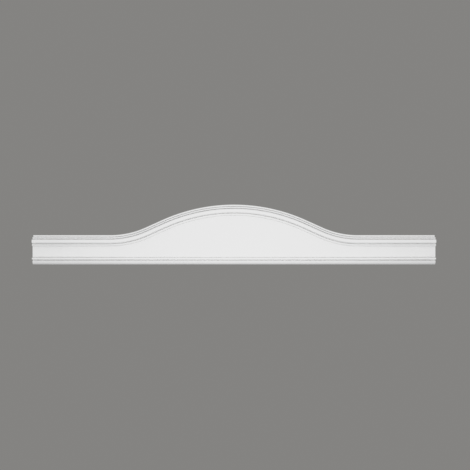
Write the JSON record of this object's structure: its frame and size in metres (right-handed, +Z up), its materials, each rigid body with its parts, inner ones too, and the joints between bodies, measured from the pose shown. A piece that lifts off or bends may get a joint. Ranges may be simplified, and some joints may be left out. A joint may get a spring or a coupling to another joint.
{
  "type": "door pediment",
  "caption": "Overdoor pediment moulding with a low arch between level wings, a stepped crown moulding, a plain panel and a straight base moulding, flat at the back.",
  "frame": {"origin": "on the flat back, midway along the length and halfway up the level wings, where the piece is fixed to the wall", "axes": "+X along the length, +Z up, +Y into the wall, so the moulded front looks along -Y"},
  "size_m": [1.275, 0.035, 0.19],
  "materials": {
    "primed_foam": "matt white primer on cast rigid polyurethane foam"
  },
  "bodies": {
    "root": {"pediment": "primed_foam"}
  },
  "joints": []
}
